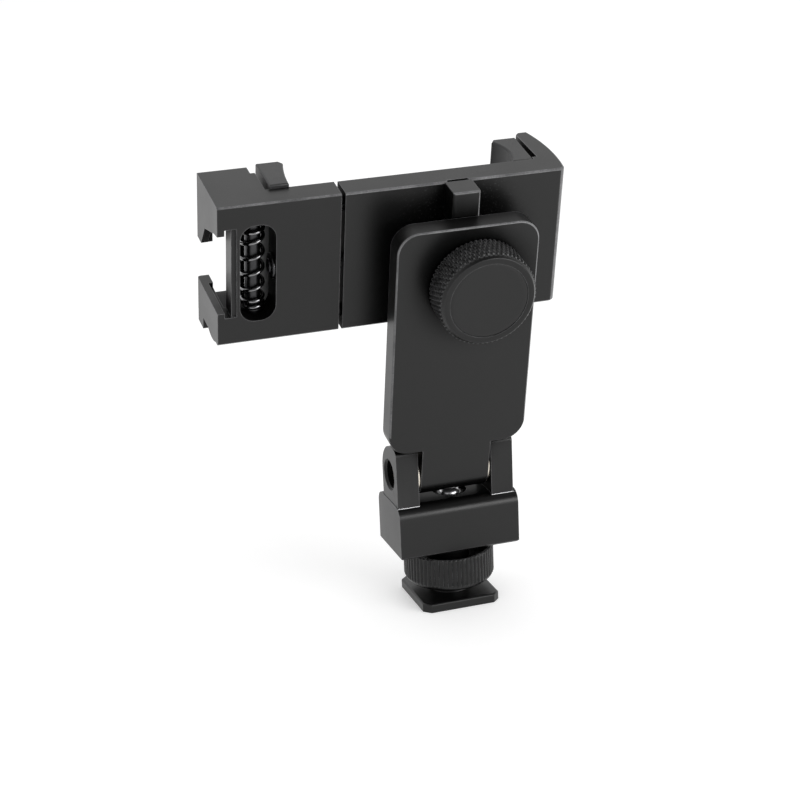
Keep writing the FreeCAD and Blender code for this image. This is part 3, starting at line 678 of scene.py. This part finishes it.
class MOUNT_OT_yoke_screw(BuildOperator, bpy.types.Operator):
    """Domed screw that holds the yoke on the foot"""
    bl_idname = "mount.yoke_screw"
    bl_label = "Yoke screw"

    def execute(self, context):
        low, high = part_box("yoke_screw")
        washer_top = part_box("yoke_screw_washer")[1].z
        centre = (low + high) / 2
        head = (high.x - low.x) / 2
        shank = 1.5 * MM
        dome = 0.88 * head
        brim = washer_top + 0.15 * MM
        profile = [(0, low.z), (shank, low.z), (shank, washer_top), (head, washer_top), (head, brim),
                   (dome, brim)]
        arc = 12
        for i in range(1, arc + 1):
            turn = math.pi / 2 * i / arc
            profile.append((dome * math.cos(turn), brim + (high.z - brim) * math.sin(turn)))
        bm = lathe(profile, 96, place=Matrix.Translation((centre.x, centre.y, 0)))
        for face in bm.faces:
            if face.calc_center_median().z < brim + 0.02 * MM:
                face.material_index = 1
        screw = finish_object(object_from(bm, "domed_screw"), "yoke_screw", "chrome", 40.0)
        screw.data.materials.append(finish_material("black_steel"))
        # Painted shade: the washer under the screw takes the dull black material.
        keep_node("yoke_screw_washer", "painted_shade_black")
        return {"FINISHED"}


class MOUNT_OT_hinge(BuildOperator, bpy.types.Operator):
    """Hinge screw with a domed head, its nut and the two thin washers"""
    bl_idname = "mount.hinge"
    bl_label = "Hinge screw, nut and washers"

    def execute(self, context):
        dressed("hinge_screw", 0.12 * MM, 2)
        dressed("hinge_nut", 0.2 * MM, 2)
        dressed("hinge_washers", 0.08 * MM, 2)
        return {"FINISHED"}


class MOUNT_OT_arm(BuildOperator, bpy.types.Operator):
    """Arm plate with its hinge knuckle"""
    bl_idname = "mount.arm"
    bl_label = "Arm"

    def execute(self, context):
        edges = context.scene.mount_edges
        neck_top = JOINTS["arm_tilt"]["pos_m"][2] + 12 * MM
        dressed("arm", edges.plate, edges.steps, rubbed_and_highlit=lambda face: face.calc_center_median().z > neck_top)
        keep_node("friction_ring")
        keep_node("knob_washer")
        return {"FINISHED"}


def diamond_limit(radius, diamonds, depth, start, length):
    """How far out a rim with two crossed sets of spiral grooves reaches; the diamonds have flat tops."""
    def limit(angle, height):
        around = angle * diamonds / (2 * math.pi)
        along = (height - start) / length
        ridges = [1 - abs(2 * ((around + slant * along) % 1.0) - 1) for slant in (1, -1)]
        return radius - depth * (1 - min(1.0, 1.6 * min(ridges)))
    return limit


class MOUNT_OT_knob(BuildOperator, bpy.types.Operator):
    """Knurled knob with its dished cap"""
    bl_idname = "mount.knob"
    bl_label = "Knob"

    def execute(self, context):
        knurl = context.scene.mount_knurl
        joint = JOINTS["knob_turn"]
        origin = Vector(joint["pos_m"])
        axis = Vector(joint["axis"]).normalized()
        low, high, radius = reach("knob", origin, axis)
        cap_low, cap_high, cap_radius = reach("knob_cap", origin, axis)
        bore = 2.5 * MM
        face = 10.2 * MM
        slope = 0.9 * MM
        step = 0.22 * MM
        brim = high - slope
        band = brim + 0.10 * MM
        foot = low + 0.2 * MM
        profile = [(bore, low), (radius - 0.3 * MM, low), (radius, foot), (radius, brim),
                   (radius - step, band), (face, high), (cap_radius + 0.01 * MM, high), (cap_radius, cap_low),
                   (bore, cap_low), (bore, low)]
        row = knurl.length / 12
        rows = [(foot, brim, round((brim - foot) / row)), (brim, band, 2), (band, high, 5)]
        place = axis_frame(origin, axis)
        bm = lathe(profile, knurl.diamonds * 12, [((5, 6), 0.10 * MM, 3)], rows)
        cut_rim(bm, face, diamond_limit(radius, knurl.diamonds, knurl.depth, foot, knurl.length))
        bmesh.ops.transform(bm, matrix=place, verts=bm.verts)
        finish_object(object_from(bm, "knurled_knob"), "knob", "black_knurled", 22.0)
        rim = cap_radius - 0.01 * MM
        dish = 0.10 * MM
        cap_profile = [(0, cap_low), (rim, cap_low), (rim, cap_high)]
        bands = 10
        for i in range(1, bands + 1):
            share = 1 - i / bands
            cap_profile.append(((rim - 0.2 * MM) * share, cap_high - dish * (1 - share ** 2)))
        bm = lathe(cap_profile, 160, [((2,), 0.08 * MM, 2)], place=place)
        finish_object(object_from(bm, "dished_cap"), "knob_cap", "black_cap", 30.0)
        keep_node("knob_screw")
        return {"FINISHED"}


class MOUNT_OT_hub(BuildOperator, bpy.types.Operator):
    """Round hub behind the arm with its screws"""
    bl_idname = "mount.hub"
    bl_label = "Hub and screws"

    def execute(self, context):
        dressed("hub", 0.2 * MM, 2)
        keep_node("hub_screws")
        return {"FINISHED"}


class MOUNT_OT_tab(BuildOperator, bpy.types.Operator):
    """Square tab over the arm"""
    bl_idname = "mount.tab"
    bl_label = "Tab"

    def execute(self, context):
        edges = context.scene.mount_edges
        dressed("tab", edges.small, edges.steps, "black_anodised_rubbed",
                rubbed_and_highlit=lambda face: face.normal.x > 0.3 or (face.normal.y < -0.4 and face.normal.z > 0.2))
        return {"FINISHED"}


class MOUNT_OT_clamp_plate(BuildOperator, bpy.types.Operator):
    """Long plate with the right jaw"""
    bl_idname = "mount.clamp_plate"
    bl_label = "Clamp plate"

    def execute(self, context):
        edges = context.scene.mount_edges
        dressed("clamp_plate", edges.plate, edges.steps, "black_anodised_dusty", deep=seam_test())
        return {"FINISHED"}


class MOUNT_OT_left_jaw(BuildOperator, bpy.types.Operator):
    """Sliding jaw with the accessory slot and the window"""
    bl_idname = "mount.left_jaw"
    bl_label = "Left jaw"

    def execute(self, context):
        edges = context.scene.mount_edges
        in_seam, in_window = seam_test(), window_test()
        dressed("left_jaw", edges.plate, edges.steps, deep=lambda face: in_seam(face) or in_window(face))
        return {"FINISHED"}


class MOUNT_OT_pads(BuildOperator, bpy.types.Operator):
    """The two grip pads"""
    bl_idname = "mount.pads"
    bl_label = "Grip pads"

    def execute(self, context):
        edges = context.scene.mount_edges
        dressed("right_pad", edges.pad, edges.steps)
        dressed("left_pad", edges.pad, edges.steps)
        return {"FINISHED"}


def coil(name, place, length, outer, wire, turns, end_turns, end_pitch, start_angle, per_turn=40):
    """A compression spring of round wire: close turns at both ends and open turns between."""
    bm = bmesh.new()
    made = bmesh.ops.create_circle(bm, cap_ends=False, radius=wire / 2, segments=14)
    upright = Matrix.Rotation(math.pi / 2, 4, "X")
    start = Matrix.Rotation(start_angle, 4, "Z") @ Matrix.Translation((outer / 2 - wire / 2, 0, wire / 2))
    bmesh.ops.transform(bm, matrix=start @ upright, verts=made["verts"])
    ring = bm.verts[:] + bm.edges[:]
    first_ring = bm.edges[:]
    open_pitch = (length - wire - 2 * end_turns * end_pitch) / turns
    for count, pitch in ((end_turns, end_pitch), (turns, open_pitch), (end_turns, end_pitch)):
        made = bmesh.ops.spin(bm, geom=ring, cent=(0, 0, 0), axis=(0, 0, 1), dvec=(0, 0, pitch / per_turn),
                              angle=2 * math.pi * count, steps=round(count * per_turn), use_duplicate=False)
        ring = made["geom_last"]
    last_ring = [item for item in ring if isinstance(item, bmesh.types.BMEdge)]
    bmesh.ops.contextual_create(bm, geom=first_ring)
    bmesh.ops.contextual_create(bm, geom=last_ring)
    bmesh.ops.remove_doubles(bm, verts=bm.verts, dist=0.0005 * MM)
    bmesh.ops.recalc_face_normals(bm, faces=bm.faces)
    bmesh.ops.transform(bm, matrix=place, verts=bm.verts)
    return object_from(bm, name)


class MOUNT_OT_window_spring(BuildOperator, bpy.types.Operator):
    """Spring on its smooth rod in the window, with the thin rings at its ends"""
    bl_idname = "mount.window_spring"
    bl_label = "Window spring"

    def execute(self, context):
        forward = Vector(JOINTS["knob_turn"]["axis"]).normalized()
        upward = Vector((0, forward.z, -forward.y))
        low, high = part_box("cross_rod")
        middle = (low + high) / 2
        spring_low, spring_high, outer = reach("window_spring", middle, upward)
        start = middle + upward * spring_low
        spring = coil("window_coil", axis_frame(start, upward), spring_high - spring_low, 2 * outer,
                      wire=0.85 * MM, turns=4, end_turns=1.5, end_pitch=1.5 * MM,
                      start_angle=math.radians(216))
        finish_object(spring, "window_spring", "spring_steel", 60.0)
        rod_low, rod_high, rod_radius = reach("cross_rod", middle, upward)
        profile = [(0, rod_low), (rod_radius, rod_low), (rod_radius, rod_high), (0, rod_high)]
        bm = lathe(profile, 64, [((1, 2), 0.25 * MM, 2)], place=axis_frame(middle, upward))
        finish_object(object_from(bm, "spring_rod"), "cross_rod", "black_steel", 40.0)
        dressed("spring_seats", 0.08 * MM, 2)
        return {"FINISHED"}


class MOUNT_OT_slide_parts(BuildOperator, bpy.types.Operator):
    """Guide rods, draw rod and return spring inside the clamp"""
    bl_idname = "mount.slide_parts"
    bl_label = "Guide rods and return spring"

    def execute(self, context):
        dressed("guide_rods", 0.25 * MM, 2)
        dressed("draw_rod", 0.2 * MM, 2)
        dressed("draw_washer", 0.15 * MM, 2)
        for node in ("draw_collar", "draw_bush", "return_spring"):
            keep_node(node)
        return {"FINISHED"}


# The stage

def aim(lamp, target):
    direction = Vector(target) - lamp.location
    lamp.rotation_euler = direction.to_track_quat("-Z", "Y").to_euler()


def soft_lamp(name, place, target, width, height, power):
    data = bpy.data.lights.new(name, "AREA")
    data.shape = "RECTANGLE"
    data.size = width
    data.size_y = height
    data.energy = power
    lamp = bpy.data.objects.new(name, data)
    bpy.context.scene.collection.objects.link(lamp)
    lamp.location = place
    aim(lamp, target)
    return lamp


def white_to_view(tree):
    """One for camera, glossy and transmitted rays, and zero for the rest."""
    paths = add_node(tree, "ShaderNodeLightPath")
    seen = math_node(tree, "MAXIMUM", paths.outputs["Is Camera Ray"], paths.outputs["Is Glossy Ray"])
    return math_node(tree, "MAXIMUM", seen, paths.outputs["Is Transmission Ray"])


def floor_material(stage):
    """Pale floor that shows white to the camera and keeps the object's shadow."""
    material, tree, shader = new_material("pale_floor")
    place = add_node(tree, "ShaderNodeTexCoord").outputs["Object"]
    cloud = noise(tree, place, 6.0, 2.0, 0.5)
    lower = tuple(channel * 0.985 for channel in stage.floor)
    tree.links.new(blend_colour(tree, cloud, tuple(stage.floor), lower), shader.inputs["Base Color"])
    shader.inputs["Roughness"].default_value = 0.9
    shader.inputs["Specular IOR Level"].default_value = 0.1
    shader.inputs["Emission Color"].default_value = (1, 1, 1, 1)
    glow = math_node(tree, "MULTIPLY", white_to_view(tree), stage.floor_glow)
    tree.links.new(glow, shader.inputs["Emission Strength"])
    return material


def white_world(scene, stage):
    """White to the camera, with an even light, and darker on the viewer's side in reflections."""
    world = bpy.data.worlds.new("white_world")
    world.use_nodes = True
    tree = world.node_tree
    background = tree.nodes["Background"]
    background.inputs["Color"].default_value = (1, 1, 1, 1)
    paths = add_node(tree, "ShaderNodeLightPath")
    direction = add_node(tree, "ShaderNodeTexCoord").outputs["Generated"]
    towards = add_node(tree, "ShaderNodeVectorMath", operation="DOT_PRODUCT")
    tree.links.new(direction, towards.inputs[0])
    viewer_side = Vector((0.15, -0.80, 0.58)).normalized()
    towards.inputs[1].default_value = viewer_side
    dark = ramp(tree, towards.outputs["Value"], 0.45, 0.95, 0.0, stage.dark_side)
    dark = math_node(tree, "MULTIPLY", dark, paths.outputs["Is Glossy Ray"])
    strength = ramp(tree, white_to_view(tree), 0.0, 1.0, stage.sky, 1.0)
    strength = math_node(tree, "MULTIPLY", strength, math_node(tree, "SUBTRACT", 1.0, dark))
    tree.links.new(strength, background.inputs["Strength"])
    scene.world = world


def place_camera(scene, stage):
    """The camera at the photograph's angle."""
    forward = Vector((math.sin(stage.yaw) * math.cos(stage.pitch),
                      math.cos(stage.yaw) * math.cos(stage.pitch), -math.sin(stage.pitch)))
    right = Vector((math.cos(stage.yaw), -math.sin(stage.yaw), 0))
    over = right.cross(forward)
    side = right * math.cos(stage.roll) + over * math.sin(stage.roll)
    top = over * math.cos(stage.roll) - right * math.sin(stage.roll)
    data = bpy.data.cameras.new("photo_camera")
    data.sensor_width = 36
    data.lens = stage.lens
    data.clip_start = 0.01
    data.clip_end = 20
    camera = bpy.data.objects.new("photo_camera", data)
    scene.collection.objects.link(camera)
    turn = Matrix((side, top, -forward)).transposed().to_4x4()
    camera.matrix_world = Matrix.Translation(stage.eye) @ turn
    scene.camera = camera


class MOUNT_OT_stage(BuildOperator, bpy.types.Operator):
    """White floor, white world, soft lamps and the camera"""
    bl_idname = "mount.stage"
    bl_label = "Stage"

    def execute(self, context):
        scene = context.scene
        stage = scene.mount_stage
        bm = bmesh.new()
        bmesh.ops.create_grid(bm, x_segments=4, y_segments=4, size=4.0)
        floor = object_from(bm, "pale_floor")
        floor.data.materials.append(floor_material(stage))
        white_world(scene, stage)
        target = (0, 0, 0.06)
        front = (0.46, -0.63, 0.23)
        behind = (0.0, 0.42, 0.52)
        soft_lamp("front_lamp", front, target, width=0.7, height=0.35, power=stage.front_lamp)
        soft_lamp("top_lamp", behind, target, width=0.7, height=0.25, power=stage.top_lamp)
        place_camera(scene, stage)
        scene.view_settings.view_transform = "Standard"
        return {"FINISHED"}


class MOUNT_PT_panel(bpy.types.Panel):
    """Lists the build steps"""
    bl_idname = "MOUNT_PT_panel"
    bl_label = "Phone mount"
    bl_space_type = "VIEW_3D"
    bl_region_type = "UI"
    bl_category = "Phone mount"

    def draw(self, context):
        column = self.layout.column()
        for step in BUILD_STEPS:
            column.operator(step.bl_idname)


SETTINGS = {
    "mount_finish": FinishSettings,
    "mount_edges": EdgeSettings,
    "mount_knurl": KnurlSettings,
    "mount_stage": StageSettings,
}
BUILD_STEPS = (
    MOUNT_OT_stage,
    MOUNT_OT_shoe_foot,
    MOUNT_OT_lock_nut,
    MOUNT_OT_yoke,
    MOUNT_OT_yoke_screw,
    MOUNT_OT_hinge,
    MOUNT_OT_arm,
    MOUNT_OT_knob,
    MOUNT_OT_hub,
    MOUNT_OT_tab,
    MOUNT_OT_clamp_plate,
    MOUNT_OT_left_jaw,
    MOUNT_OT_pads,
    MOUNT_OT_window_spring,
    MOUNT_OT_slide_parts,
)


def register():
    for group in SETTINGS.values():
        bpy.utils.register_class(group)
    for name, group in SETTINGS.items():
        setattr(bpy.types.Scene, name, PointerProperty(type=group))
    for step in BUILD_STEPS:
        bpy.utils.register_class(step)
    bpy.utils.register_class(MOUNT_PT_panel)


def unregister():
    bpy.utils.unregister_class(MOUNT_PT_panel)
    for step in reversed(BUILD_STEPS):
        bpy.utils.unregister_class(step)
    for name in SETTINGS:
        delattr(bpy.types.Scene, name)
    for group in reversed(list(SETTINGS.values())):
        bpy.utils.unregister_class(group)


def main():
    """Registers the add-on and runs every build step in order."""
    register()
    for step in BUILD_STEPS:
        group, name = step.bl_idname.split(".")
        getattr(getattr(bpy.ops, group), name)()


if __name__ == "__main__":
    main()
